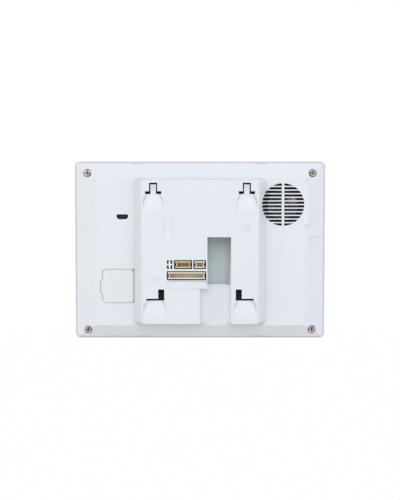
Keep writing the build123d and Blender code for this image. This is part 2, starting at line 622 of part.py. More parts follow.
with BuildPart() as lcd_cell:
    slab(grown(LCD_BOX, -0.8), (LCD_BACK_DEPTH + 2.5, LCD_FRONT_DEPTH - 0.9))
    slab(centred((ACTIVE[0] + 2, ACTIVE[1] + 2), (SCREEN_X, 0)), (LCD_FRONT_DEPTH - 0.9, LCD_FRONT_DEPTH))
save("lcd_cell", lcd_cell.part)

with BuildPart() as display_connector:
    slab((-29.0, -1.0, -45.6, -41.6), (MAIN_BOARD_BACK, MAIN_BOARD_BACK + 1.1))
    slab((-28.2, -1.8, -45.7, -42.4), (RIBBON_DEPTHS[0] - 0.05, RIBBON_DEPTHS[1] + 0.05), mode=Mode.SUBTRACT)
save("display_connector", display_connector.part)

with BuildPart() as lcd_ribbon:
    with BuildSketch(Plane.YZ.offset(-27.5)):
        with BuildLine() as ribbon_path:
            near = -(RIBBON_DEPTHS[0] + RIBBON_DEPTHS[1]) / 2
            far = -(LCD_BACK_DEPTH + 1.9)
            FilletPolyline((near, -42.6), (near, -51.4), (far, -51.4), (far, LCD_BOX[2] + 0.3), radius=0.7)
        trace(ribbon_path.edges(), line_width=RIBBON_DEPTHS[1] - RIBBON_DEPTHS[0])
    extrude(amount=25.0)
save("lcd_ribbon", lcd_ribbon.part)

with BuildPart() as lcd_clips:
    for centre in CLIP_SCREWS:
        reach = math.copysign(1, centre[1])
        inner, outer = centre[1] - reach * 6.6, centre[1] + reach * 3.0
        box = (centre[0] - 4, centre[0] + 4, min(inner, outer), max(inner, outer))
        slab(box, CLIP_DEPTHS, radius=1.0)
        peg(centre, SMALL_SCREW_RADIUS + 0.15, CLIP_DEPTHS, mode=Mode.SUBTRACT)
save("lcd_clips", lcd_clips.part)


# ------------------------------------------------------------------ keys, key board and lights
with BuildPart() as key_board:
    slab(KEY_BOARD, KEY_BOARD_DEPTHS, radius=1.0)
    for centre in KEY_BOARD_SCREWS:
        peg(centre, SMALL_SCREW_RADIUS + 0.15, KEY_BOARD_DEPTHS, mode=Mode.SUBTRACT)
save("key_board", key_board.part)

SWITCH_TOP = KEY_BOARD_DEPTHS[1] + SWITCH_HEIGHT
with BuildPart() as key_switches:
    for row in range(len(KEY_NAMES)):
        centre = (KEY_X, (2 - row) * KEY_PITCH)
        slab(centred((6.0, 6.0), centre), (KEY_BOARD_DEPTHS[1], SWITCH_TOP), radius=0.4)
        peg(centre, 1.75, (KEY_BOARD_DEPTHS[1] + 0.3, SWITCH_TOP), mode=Mode.SUBTRACT)
save("key_switches", key_switches.part)

for row, key_name in enumerate(KEY_NAMES):
    centre = (KEY_X, (2 - row) * KEY_PITCH)
    with BuildPart() as key:
        slab(centred(KEY_SIZE, centre), (KEY_FLANGE_DEPTHS[0], KEY_FRONT_DEPTH), radius=1.5)
        fillet(key.faces().sort_by(Axis.Y)[0].edges(), 0.6)
        slab(centred((KEY_SIZE[0] + 1.6, KEY_SIZE[1] + 1.6), centre), KEY_FLANGE_DEPTHS, radius=1.5)
        slab(centred((KEY_SIZE[0] - 2.0, KEY_SIZE[1] - 2.0), centre), (23.0, 26.2), radius=0.8, mode=Mode.SUBTRACT)
        peg(centre, 1.65, (KEY_BOARD_DEPTHS[1] + 0.3 + KEY_TRAVEL + 0.1, 26.3))
        for x_rib in (-1, 1):
            rib = centred((2.6, 0.8), (centre[0] + x_rib * 2.9, centre[1]))
            slab(rib, (KEY_FLANGE_DEPTHS[0], 26.3))
    save(key_name, key.part)

with BuildPart() as light_pipes:
    for centre in LIGHTS:
        peg(centre, LIGHT_RADIUS, (KEY_BOARD_DEPTHS[1] + 0.9, FRONT_DEPTH - 0.05))
        peg(centre, LIGHT_RADIUS + 0.6, (BEZEL_FLOOR_DEPTH - 0.9, BEZEL_FLOOR_DEPTH - 0.05))
save("light_pipes", light_pipes.part)

with BuildPart() as indicator_leds:
    for centre in LIGHTS:
        slab(centred((1.6, 0.9), centre), (KEY_BOARD_DEPTHS[1], KEY_BOARD_DEPTHS[1] + 0.7))
save("indicator_leds", indicator_leds.part)

with BuildPart() as ribbon_connectors:
    slab((65.0, 69.0, -6.2, 6.2), (MAIN_BOARD_BACK, MAIN_BOARD_BACK + 1.1))
    slab((78.4, 82.4, -6.2, 6.2), (KEY_BOARD_DEPTHS[0] - 1.6, KEY_BOARD_DEPTHS[0]))
    slab((66.0, 81.4, -5.4, 5.4), (RIBBON_DEPTHS[0] - 0.05, RIBBON_DEPTHS[1] + 0.05), mode=Mode.SUBTRACT)
save("ribbon_connectors", ribbon_connectors.part)

with BuildPart() as key_ribbon:
    slab((66.4, 81.0, -5.0, 5.0), RIBBON_DEPTHS)
save("key_ribbon", key_ribbon.part)


# ------------------------------------------------------------------ microphone
with BuildPart() as microphone_boot:
    peg(MICROPHONE, 4.1, (20.4, BEZEL_FLOOR_DEPTH))
    peg(MICROPHONE, 3.05, (20.3, 23.3), mode=Mode.SUBTRACT)
    peg(MICROPHONE, 1.0, (20.3, BEZEL_FLOOR_DEPTH + 1), mode=Mode.SUBTRACT)
save("microphone_boot", microphone_boot.part)

with BuildPart() as microphone:
    peg(MICROPHONE, 3.0, (20.6, 23.25))
    fillet(microphone.faces().sort_by(Axis.Y)[0].edges(), 0.3)
save("microphone", microphone.part)


# ------------------------------------------------------------------ main board and its components
with BuildPart() as main_board:
    board_depths = (MAIN_BOARD_DEPTH, MAIN_BOARD_BACK)
    slab(MAIN_BOARD, board_depths, radius=1.5)
    slab((WELL[0] - 1.7, WELL[1] + 1.3, WELL[2] - 1.7, JACK[2] - 0.1), board_depths, radius=0.5, mode=Mode.SUBTRACT)
    for centre in BOARD_SCREWS:
        peg(centre, BOARD_SCREW_RADIUS + 0.2, board_depths, mode=Mode.SUBTRACT)
save("main_board", main_board.part)


def chip(box, height):
    """A flat component standing on the side of the main board that faces the wall, in the current part."""
    slab(box, (MAIN_BOARD_DEPTH - height, MAIN_BOARD_DEPTH), radius=0.3)


with BuildPart() as processor:
    chip(centred((14.0, 14.0), (10.0, 25.0)), 1.3)
save("processor", processor.part)

with BuildPart() as memory_chips:
    for z_chip in (10.0, 32.0):
        chip(centred((9.0, 13.0), (34.0, z_chip)), 1.1)
save("memory_chips", memory_chips.part)

with BuildPart() as capacitors:
    for z_can in (-4.0, -14.0, -30.0):
        peg((-35.5, z_can), 3.1, (MAIN_BOARD_DEPTH - 5.6, MAIN_BOARD_DEPTH))
        with BuildSketch(at_depth(MAIN_BOARD_DEPTH - 1.6)):
            with Locations((-35.5, z_can)):
                Circle(3.3)
                Circle(2.8, mode=Mode.SUBTRACT)
        extrude(amount=0.5, mode=Mode.SUBTRACT)
save("capacitors", capacitors.part)

with BuildPart() as inductors:
    for z_coil in (30.0, 39.5):
        chip(centred((7.0, 7.0), (-34.0, z_coil)), 3.2)
save("inductors", inductors.part)

with BuildPart() as network_transformer:
    chip(centred((12.6, 7.0), (-14.25, 39.6)), 5.0)
save("network_transformer", network_transformer.part)

with BuildPart() as clock_cell:
    peg((58.0, 5.0), 5.0, (MAIN_BOARD_DEPTH - 2.6, MAIN_BOARD_DEPTH))
    fillet(clock_cell.faces().sort_by(Axis.Y)[-1].edges(), 0.4)
save("clock_cell", clock_cell.part)


# ------------------------------------------------------------------ connector board and wiring headers
with BuildPart() as io_board:
    slab(IO_BOARD, (IO_BOARD_DEPTH, IO_BOARD_BACK), radius=0.8)
    for centre in IO_BOARD_SCREWS:
        peg(centre, SMALL_SCREW_RADIUS + 0.15, (IO_BOARD_DEPTH, IO_BOARD_BACK), mode=Mode.SUBTRACT)
    for ways, x_header, z_header in HEADERS.values():
        with BuildSketch(at_depth(IO_BOARD_DEPTH)):
            with Locations((x_header, z_header + PIN_ROW_RISE)):
                with GridLocations(PIN_PITCH, 1, ways, 1):
                    Circle(0.42)
        extrude(amount=BOARD_THICKNESS, mode=Mode.SUBTRACT)
save("io_board", io_board.part)

with BuildPart() as board_link:
    link = centred((15.0, 4.6), (12.6, -13.6))
    slab(link, (IO_BOARD_BACK, MAIN_BOARD_DEPTH), radius=0.3)
    slab(grown(link, 0.2), (12.2, 12.4), mode=Mode.SUBTRACT)
    slab(grown(link, -0.4), (12.1, 12.5))
save("board_link", board_link.part)

for header_name, (ways, x_header, z_header) in HEADERS.items():
    half = header_length(ways) / 2
    with BuildPart() as housing:
        slab(centred((2 * half, HEADER_HEIGHT), (x_header, z_header)), (HEADER_RIM_DEPTH, IO_BOARD_DEPTH))
        hollow_half = (half - HEADER_END_WALL, HEADER_HEIGHT / 2 - HEADER_WALL)
        # Each end wall is pinched inward, with a vee outside, which keys the plug.
        with BuildSketch(at_depth(HEADER_RIM_DEPTH)):
            with BuildLine() as hollow:
                Polyline(*header_hollow(x_header, z_header, *hollow_half), close=True)
            make_face(hollow.edges())
        extrude(amount=HEADER_FLOOR_DEPTH - HEADER_RIM_DEPTH, mode=Mode.SUBTRACT)
        with BuildSketch(at_depth(HEADER_RIM_DEPTH)):
            for end in (-1, 1):
                with BuildLine() as vee:
                    Polyline(
                        (x_header + end * half, z_header + HEADER_PINCH_HALF),
                        (x_header + end * (half - HEADER_PINCH), z_header),
                        (x_header + end * half, z_header - HEADER_PINCH_HALF),
                        close=True,
                    )
                make_face(vee.edges())
        extrude(amount=HEADER_FLOOR_DEPTH - HEADER_RIM_DEPTH, mode=Mode.SUBTRACT)
        # Ribs on the upper long wall stand between the pins.
        with BuildSketch(at_depth(HEADER_RIM_DEPTH + 0.4)):
            with Locations((x_header, z_header + hollow_half[1] - HEADER_RIB[1] / 2)):
                with GridLocations(PIN_PITCH, 1, ways - 1, 1):
                    Rectangle(*HEADER_RIB)
        extrude(amount=HEADER_FLOOR_DEPTH - HEADER_RIM_DEPTH - 0.4)
        with BuildSketch(at_depth(HEADER_FLOOR_DEPTH)):
            with Locations((x_header, z_header + PIN_ROW_RISE)):
                with GridLocations(PIN_PITCH, 1, ways, 1):
                    Rectangle(0.56, 0.56)
        extrude(amount=3, mode=Mode.SUBTRACT)
    save(f"header_{header_name}", housing.part)

    with BuildPart() as pins:
        with BuildSketch(at_depth(HEADER_RIM_DEPTH + 1.3)):
            with Locations((x_header, z_header + PIN_ROW_RISE)):
                with GridLocations(PIN_PITCH, 1, ways, 1):
                    Rectangle(0.5, 0.5)
        extrude(amount=IO_BOARD_BACK + 1.0 - HEADER_RIM_DEPTH - 1.3)
        chamfer(pins.edges().filter_by_position(Axis.Y, -HEADER_RIM_DEPTH - 1.31, -HEADER_RIM_DEPTH - 1.29), 0.12)
    save(f"pins_{header_name}", pins.part)


# ------------------------------------------------------------------ USB port, card socket and card door
with BuildPart() as usb_shell:
    with BuildSketch(at_depth(USB_RIM_DEPTH)) as shell_face:
        with Locations(USB_CENTRE):
            Rectangle(USB_PORT[0] - 0.6, USB_PORT[1] - 0.6)
        chamfer(shell_face.vertices().group_by(Axis.Y)[0], 1.2)
        fillet(shell_face.vertices().group_by(Axis.Y)[-1], 0.5)
    extrude(amount=MAIN_BOARD_DEPTH - USB_RIM_DEPTH)
    mouth = usb_shell.faces().sort_by(Axis.Y)[-1]
    offset(amount=-0.3, openings=mouth)
save("usb_shell", usb_shell.part)

with BuildPart() as usb_tongue:
    tongue_box = centred((5.2, 0.7), (USB_CENTRE[0], USB_CENTRE[1] + 0.35))
    slab(tongue_box, (USB_RIM_DEPTH + 0.7, MAIN_BOARD_DEPTH - 0.32))
save("usb_tongue", usb_tongue.part)

with BuildPart() as card_socket:
    slab(CARD_SOCKET, (CARD_SOCKET_DEPTH + 1.0, MAIN_BOARD_DEPTH))
    for x_rail in (CARD_SOCKET[0] + 0.6, CARD_SOCKET[1] - 0.6):
        rail = (x_rail - 0.5, x_rail + 0.5, CARD_SOCKET[2], CARD_SOCKET[3])
        slab(rail, (CARD_SOCKET_DEPTH + 0.3, CARD_SOCKET_DEPTH + 1.1))
save("card_socket", card_socket.part)

with BuildPart() as card_socket_lid:
    slab(CARD_SOCKET, (CARD_SOCKET_DEPTH, CARD_SOCKET_DEPTH + 0.28))
    window = (CARD_SOCKET[0] + 3, CARD_SOCKET[1] - 3, CARD_SOCKET[2] + 8, CARD_SOCKET[2] + 11)
    slab(window, (CARD_SOCKET_DEPTH - 1, CARD_SOCKET_DEPTH + 1), radius=0.5, mode=Mode.SUBTRACT)
save("card_socket_lid", card_socket_lid.part)

with BuildPart() as card_door:
    with BuildSketch(at_depth(PLATEAU_DEPTH)):
        door_outline()
        past_hinge = (DOOR[0] - 1, DOOR_HINGE[0], DOOR[2] - 1, DOOR[3] + 1)
        with Locations(((past_hinge[0] + past_hinge[1]) / 2, (DOOR[2] + DOOR[3]) / 2)):
            Rectangle(past_hinge[1] - past_hinge[0], DOOR[3] - DOOR[2] + 2, mode=Mode.SUBTRACT)
    extrude(amount=DOOR_THICKNESS)
    barrel_low = DOOR[2] + DOOR_RADIUS - 1.1
    barrel_high = DOOR[3] - DOOR_RADIUS + 1.1
    for radius, low, high in (
        (DOOR_HINGE_RADIUS, barrel_low, barrel_high),
        (DOOR_PIN_RADIUS, DOOR[2] - 1.1, DOOR[3] + 1.1),
    ):
        with BuildSketch(Plane.XY.offset(low)):
            with Locations((DOOR_HINGE[0], -DOOR_HINGE[1])):
                Circle(radius)
        extrude(amount=high - low)
    # Snap nib behind the free edge, and stiffening ribs.
    slab((70.9, 71.6, -29.6, -24.2), (PLATEAU_DEPTH + DOOR_THICKNESS - 0.1, PLATEAU_DEPTH + 2.7))
    for z_rib in (-33.5, -20.3):
        slab((55.0, 69.0, z_rib - 0.4, z_rib + 0.4), (PLATEAU_DEPTH + DOOR_THICKNESS - 0.1, PLATEAU_DEPTH + 2.2))
save("card_door", card_door.part)


# ------------------------------------------------------------------ network jack
JACK_MID = ((JACK[0] + JACK[1]) / 2, (JACK_DEPTHS[0] + JACK_DEPTHS[1]) / 2)


def from_below(z_level):
    """A sketch plane facing down at the jack's mouth: sketch x is X, sketch y is the depth, extruding upward."""
    return Plane(origin=(JACK_MID[0], -JACK_MID[1], z_level), x_dir=(1, 0, 0), z_dir=(0, 0, 1))


with BuildPart() as network_jack:
    slab(JACK, JACK_DEPTHS)
    with BuildSketch(from_below(JACK[2] - 1)):
        Rectangle(11.8, 7.0)
        with Locations((0, 4.2)):
            Rectangle(6.2, 1.8)
        with Locations((0, 5.3)):
            Rectangle(3.6, 1.4)
    extrude(amount=15.0, mode=Mode.SUBTRACT)
save("network_jack", network_jack.part)

with BuildPart() as jack_contacts:
    for way in range(8):
        x_way = JACK_MID[0] + (way - 3.5) * 1.02
        with BuildSketch(Plane.YZ.offset(x_way - 0.2)):
            with BuildLine():
                Polyline(
                    (-JACK_MID[1] - 3.45, JACK[2] + 3.0),
                    (-JACK_MID[1] - 3.45, JACK[2] + 13.9),
                    (-JACK_MID[1] - 0.2, JACK[2] + 13.9),
                    (-JACK_MID[1] - 0.2, JACK[2] + 13.5),
                    (-JACK_MID[1] - 3.05, JACK[2] + 3.2),
                    close=True,
                )
            make_face()
        extrude(amount=0.4)
save("jack_contacts", jack_contacts.part)


# ------------------------------------------------------------------ loudspeaker
def speaker_turned(profile_points):
    """Turns a closed (radius, depth) profile about the speaker's own axis, in the current part."""
    with BuildSketch(Plane(origin=(SPEAKER[0], 0, SPEAKER[1]), x_dir=(1, 0, 0), z_dir=(0, 0, 1))) as half:
        with BuildLine() as edge:
            Polyline(*[(radius, -depth) for radius, depth in profile_points], close=True)
        make_face(edge.edges())
    revolve(half.sketch, axis=Axis((SPEAKER[0], 0, SPEAKER[1]), (0, 1, 0)))


GASKET_BACK = INNER_PLATEAU_DEPTH + 0.6
with BuildPart() as speaker_gasket:
    speaker_turned([
        (GASKET_INNER_RADIUS, INNER_PLATEAU_DEPTH),
        (SPEAKER_RADIUS, INNER_PLATEAU_DEPTH),
        (SPEAKER_RADIUS, GASKET_BACK),
        (GASKET_INNER_RADIUS, GASKET_BACK),
    ])
save("speaker_gasket", speaker_gasket.part)

with BuildPart() as speaker_basket:
    speaker_turned([
        (14.4, GASKET_BACK),
        (SPEAKER_RADIUS, GASKET_BACK),
        (SPEAKER_RADIUS, SPEAKER_FLANGE_BACK),
        (15.6, SPEAKER_FLANGE_BACK),
        (12.4, SPEAKER_BACK + 1.4),
        (6.4, SPEAKER_BACK + 1.4),
        (6.4, SPEAKER_BACK + 0.8),
        (12.0, SPEAKER_BACK + 0.8),
        (14.4, SPEAKER_FLANGE_BACK),
    ])
save("speaker_basket", speaker_basket.part)

with BuildPart() as speaker_surround:
    speaker_turned([
        (CONE_RADIUS + 0.2, 13.9),
        (CONE_RADIUS + 0.9, 13.4),
        (CONE_RADIUS + 1.9, 13.3),
        (CONE_RADIUS + 2.7, 13.9),
        (14.35, 13.9),
        (14.35, 14.15),
        (CONE_RADIUS + 2.6, 14.15),
        (CONE_RADIUS + 1.8, 13.6),
        (CONE_RADIUS + 1.0, 13.7),
        (CONE_RADIUS + 0.2, 14.2),
    ])
save("speaker_surround", speaker_surround.part)

with BuildPart() as speaker_cone:
    speaker_turned([
        (0, 13.5),
        (2.6, 13.7),
        (4.6, 14.6),
        (5.2, 14.9),
        (CONE_RADIUS, 13.9),
        (CONE_RADIUS, 14.15),
        (5.5, 15.15),
        (5.5, 15.8),
        (5.1, 15.8),
        (5.1, 15.15),
        (4.4, 14.85),
        (2.5, 13.95),
        (0, 13.75),
    ])
save("speaker_cone", speaker_cone.part)

with BuildPart() as speaker_magnet:
    speaker_turned([
        (0, SPEAKER_BACK + 1.45),
        (8.6, SPEAKER_BACK + 1.45),
        (8.6, MAGNET_BACK),
        (0, MAGNET_BACK),
    ])
save("speaker_magnet", speaker_magnet.part)

with BuildPart() as speaker_leads:
    for drop in (0.0, 1.6):
        with BuildLine() as run:
            Spline(
                (-50.0, -16.0, 27.0 - drop),
                (-47.0, -16.6, 24.6 - drop),
                (-44.4, -18.0, 22.0 - drop),
                (-42.0, -18.75, 20.4 - drop),
                (-37.0, -18.75, 20.4 - drop),
            )
        with BuildSketch(Plane(origin=run.line @ 0, z_dir=run.line % 0)):
            Circle(0.45)
        sweep(path=run.line)
save("speaker_leads", speaker_leads.part)


# ------------------------------------------------------------------ screws
def screw(centre, head_depth, direction, head, shank):
    """A cross-head screw; direction +1 drives towards the screen, -1 towards the wall."""
    head_radius, head_height = head
    shank_radius, shank_length = shank
    top = head_depth - direction * head_height
    with BuildPart() as body:
        peg(centre, head_radius, sorted((top, head_depth)))
        rim = body.faces().sort_by(Axis.Y)[-1 if direction > 0 else 0].edges()
        fillet(rim, head_height * 0.45)
        peg(centre, shank_radius, sorted((head_depth, head_depth + direction * shank_length)))
        arm = head_radius * 1.15
        for size in ((arm, arm * 0.26), (arm * 0.26, arm)):
            cross = sorted((top - direction, top + direction * head_height * 0.55))
            slab(centred(size, centre), cross, mode=Mode.SUBTRACT)
    return body.part


SCREW_SETS = {
    "case_screws": (CASE_SCREWS, SCREW_SEAT_DEPTH, 1, (SCREW_HEAD_RADIUS, SCREW_HEAD_HEIGHT), (SCREW_SHANK_RADIUS, 8.0)),
    "board_screws": (BOARD_SCREWS, MAIN_BOARD_BACK, -1, (2.2, 1.2), (BOARD_SCREW_RADIUS, 5.0)),
    "io_board_screws": (IO_BOARD_SCREWS, IO_BOARD_BACK, -1, (1.8, 1.1), (SMALL_SCREW_RADIUS, 5.0)),
    "key_board_screws": (KEY_BOARD_SCREWS, KEY_BOARD_DEPTHS[0], 1, (1.8, 1.1), (SMALL_SCREW_RADIUS, 4.0)),
    "clip_screws": (CLIP_SCREWS, CLIP_DEPTHS[0], 1, (1.9, 1.1), (SMALL_SCREW_RADIUS, 4.4)),
    "speaker_screws": (SPEAKER_SCREWS, SPEAKER_FLANGE_BACK, -1, (3.2, 1.0), (SMALL_SCREW_RADIUS, 2.2)),
}
for set_name, (centres, depth, direction, head, shank) in SCREW_SETS.items():
    with BuildPart() as screws:
        for centre in centres:
            add(screw(centre, depth, direction, head, shank))
    save(set_name, screws.part)
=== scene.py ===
"""The looks of a wall-mounted video intercom monitor, seen from behind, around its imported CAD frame."""

import json
import math

import bmesh
import bpy
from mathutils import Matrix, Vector


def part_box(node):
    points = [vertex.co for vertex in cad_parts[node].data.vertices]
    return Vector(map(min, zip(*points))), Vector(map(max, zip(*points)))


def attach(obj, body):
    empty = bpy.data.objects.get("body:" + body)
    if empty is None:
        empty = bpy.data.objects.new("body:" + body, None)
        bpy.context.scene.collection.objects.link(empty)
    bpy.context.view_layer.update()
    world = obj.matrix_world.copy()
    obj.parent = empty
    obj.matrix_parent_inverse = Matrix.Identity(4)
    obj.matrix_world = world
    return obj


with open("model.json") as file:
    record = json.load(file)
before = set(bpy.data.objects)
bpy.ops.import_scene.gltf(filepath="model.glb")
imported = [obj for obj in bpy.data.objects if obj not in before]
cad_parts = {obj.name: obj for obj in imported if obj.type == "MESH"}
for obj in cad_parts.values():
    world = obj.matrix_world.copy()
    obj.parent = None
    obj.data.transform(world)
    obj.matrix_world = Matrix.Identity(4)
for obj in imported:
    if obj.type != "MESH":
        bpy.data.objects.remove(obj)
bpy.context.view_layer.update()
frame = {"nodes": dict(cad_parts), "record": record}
NODES = frame["nodes"]
MM = 0.001


# ------------------------------------------------------------------ camera, light and stage
def look_at(obj, place, target):
    """Puts a camera or light at a place, facing a target, with +Z up."""
    obj.location = place
    direction = Vector(target) - Vector(place)
    obj.rotation_euler = direction.to_track_quat("-Z", "Y").to_euler()
    bpy.context.scene.collection.objects.link(obj)


TARGET = Vector((0, -18 * MM, 0))
CAMERA_DISTANCE = 0.9
CAMERA_ELEVATION = math.radians(4.2)
VISIBLE_HEIGHT = 0.3789

camera = bpy.data.objects.new("camera", bpy.data.cameras.new("camera"))
camera.data.lens = camera.data.sensor_width * CAMERA_DISTANCE / VISIBLE_HEIGHT
towards_camera = Vector((0, math.cos(CAMERA_ELEVATION), math.sin(CAMERA_ELEVATION)))
look_at(camera, TARGET + towards_camera * CAMERA_DISTANCE, TARGET)
bpy.context.scene.camera = camera
bpy.context.scene.view_settings.view_transform = "Standard"
bpy.context.scene.view_settings.look = "None"


def softbox(name, place, size, power, colour=(1, 1, 1)):
    """A large soft area light facing the object."""
    light = bpy.data.lights.new(name, "AREA")
    light.shape = "RECTANGLE"
    light.size, light.size_y = size
    light.energy = power
    light.color = colour
    look_at(bpy.data.objects.new(name, light), place, TARGET)


softbox("rear_key", (0.0, 1.65, 1.1), (1.4, 1.2), 15.2, (0.93, 0.965, 1.0))
softbox("rear_left", (1.5, 1.15, 0.05), (1.2, 1.6), 6.5, (1.0, 0.985, 0.95))
softbox("rear_right", (-1.5, 1.15, 0.05), (1.2, 1.6), 6.2, (0.92, 0.955, 1.0))
softbox("front_key", (-0.5, -1.5, 1.1), (1.4, 1.0), 22.0)
softbox("front_fill", (1.0, -1.4, 0.1), (1.2, 1.4), 8.0)

WORLD_STRENGTH = 0.67
# The tones at the negative and the positive end of each axis. The two axes are multiplied.
WORLD_TONES = {
    "Z": ((0.95, 0.94, 0.93, 1), (0.75, 0.79, 0.855, 1)),
    "X": ((0.93, 0.965, 1.0, 1), (1.0, 0.99, 0.965, 1)),
}


def studio_world():
    """A pale surround: bluish overhead and to one side, neutral below and to the other."""
    world = bpy.data.worlds.new("studio")
    bpy.context.scene.world = world
    world.use_nodes = True
    sky = world.node_tree
    direction = sky.nodes.new("ShaderNodeSeparateXYZ")
    sky.links.new(sky.nodes.new("ShaderNodeTexCoord").outputs["Generated"], direction.inputs[0])
    blend = sky.nodes.new("ShaderNodeMix")
    blend.data_type = "RGBA"
    blend.blend_type = "MULTIPLY"
    blend.inputs["Factor"].default_value = 1.0
    colour_inputs = (blend.inputs[6], blend.inputs[7])
    for (axis, tones), colour_input in zip(WORLD_TONES.items(), colour_inputs):
        remap = sky.nodes.new("ShaderNodeMapRange")
        remap.inputs["From Min"].default_value = -1
        ramp = sky.nodes.new("ShaderNodeValToRGB")
        for element, tone in zip(ramp.color_ramp.elements, tones):
            element.color = tone
        sky.links.new(direction.outputs[axis], remap.inputs["Value"])
        sky.links.new(remap.outputs[0], ramp.inputs[0])
        sky.links.new(ramp.outputs[0], colour_input)
    sky.links.new(blend.outputs[2], sky.nodes["Background"].inputs["Color"])
    sky.nodes["Background"].inputs["Strength"].default_value = WORLD_STRENGTH


studio_world()

BACKDROP_RADIUS = 9.0
FLOOR_RADIUS = 2.5
FLOOR_LEVEL = -0.4


def stage_piece(name, shape, tone):
    """A floor or backdrop that only the camera sees, so that it throws no light on the object."""
    mesh = bpy.data.meshes.new(name)
    shape.to_mesh(mesh)
    shape.free()
    obj = bpy.data.objects.new(name, mesh)
    material = bpy.data.materials.new(name)
    material.use_nodes = True
    tree = material.node_tree
    tree.nodes.clear()
    glow = tree.nodes.new("ShaderNodeEmission")
    glow.inputs["Color"].default_value = (tone, tone, tone, 1)
    out = tree.nodes.new("ShaderNodeOutputMaterial")
    tree.links.new(glow.outputs[0], out.inputs["Surface"])
    mesh.materials.append(material)
    bpy.context.scene.collection.objects.link(obj)
    for ray in ("diffuse", "glossy", "transmission", "volume_scatter", "shadow"):
        setattr(obj, f"visible_{ray}", False)


shell = bmesh.new()
bmesh.ops.create_icosphere(shell, subdivisions=4, radius=BACKDROP_RADIUS)
stage_piece("backdrop", shell, 1.0)

disc = bmesh.new()
bmesh.ops.create_circle(disc, cap_ends=True, segments=96, radius=FLOOR_RADIUS)
bmesh.ops.translate(disc, verts=disc.verts, vec=(0, 0, FLOOR_LEVEL))
stage_piece("floor", disc, 0.995)


